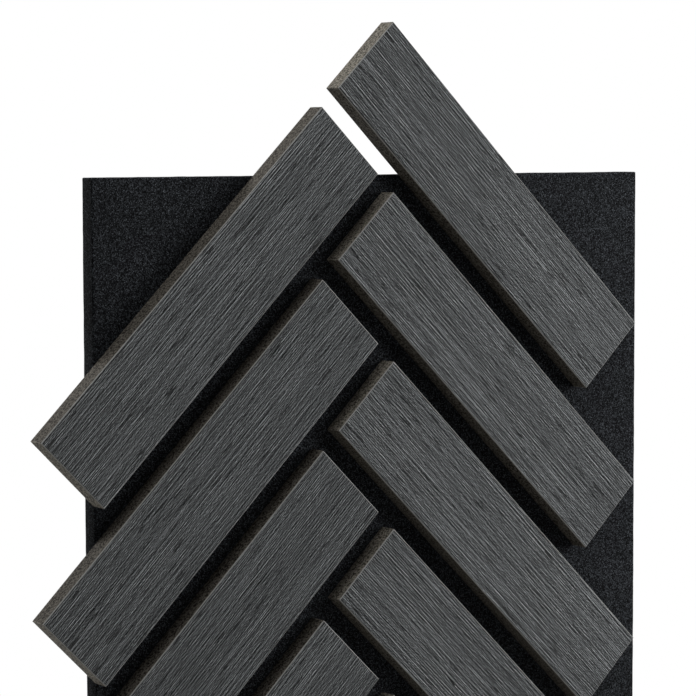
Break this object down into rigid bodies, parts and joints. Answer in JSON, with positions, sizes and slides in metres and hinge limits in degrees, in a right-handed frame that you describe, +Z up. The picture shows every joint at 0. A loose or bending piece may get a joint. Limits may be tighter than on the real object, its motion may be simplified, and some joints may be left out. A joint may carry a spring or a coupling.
{
  "type": "acoustic panel",
  "caption": "Acoustic wall panel with dark wood slats in a herringbone on a black felt sheet; slat ends overhang the felt so that neighbouring panels interlock.",
  "frame": {"origin": "centre of the felt's back face, which lies against the wall", "axes": "+Z up, +Y into the wall, +X to the right as seen from the front; the slats face -Y"},
  "size_m": [0.3293, 0.019, 0.7473],
  "materials": {
    "felt": "matte",
    "slat_wood": "matte",
    "staple_wire": "satin"
  },
  "bodies": {
    "root": {"felt_backing": "felt", "slat_left_01": "slat_wood", "slat_left_02": "slat_wood", "slat_left_03": "slat_wood", "slat_left_04": "slat_wood", "slat_left_05": "slat_wood", "slat_left_06": "slat_wood", "slat_left_07": "slat_wood", "slat_left_08": "slat_wood", "slat_right_01": "slat_wood", "slat_right_02": "slat_wood", "slat_right_03": "slat_wood", "slat_right_04": "slat_wood", "slat_right_05": "slat_wood", "slat_right_06": "slat_wood", "slat_right_07": "slat_wood", "slat_right_08": "slat_wood", "staples": "staple_wire"}
  },
  "joints": []
}
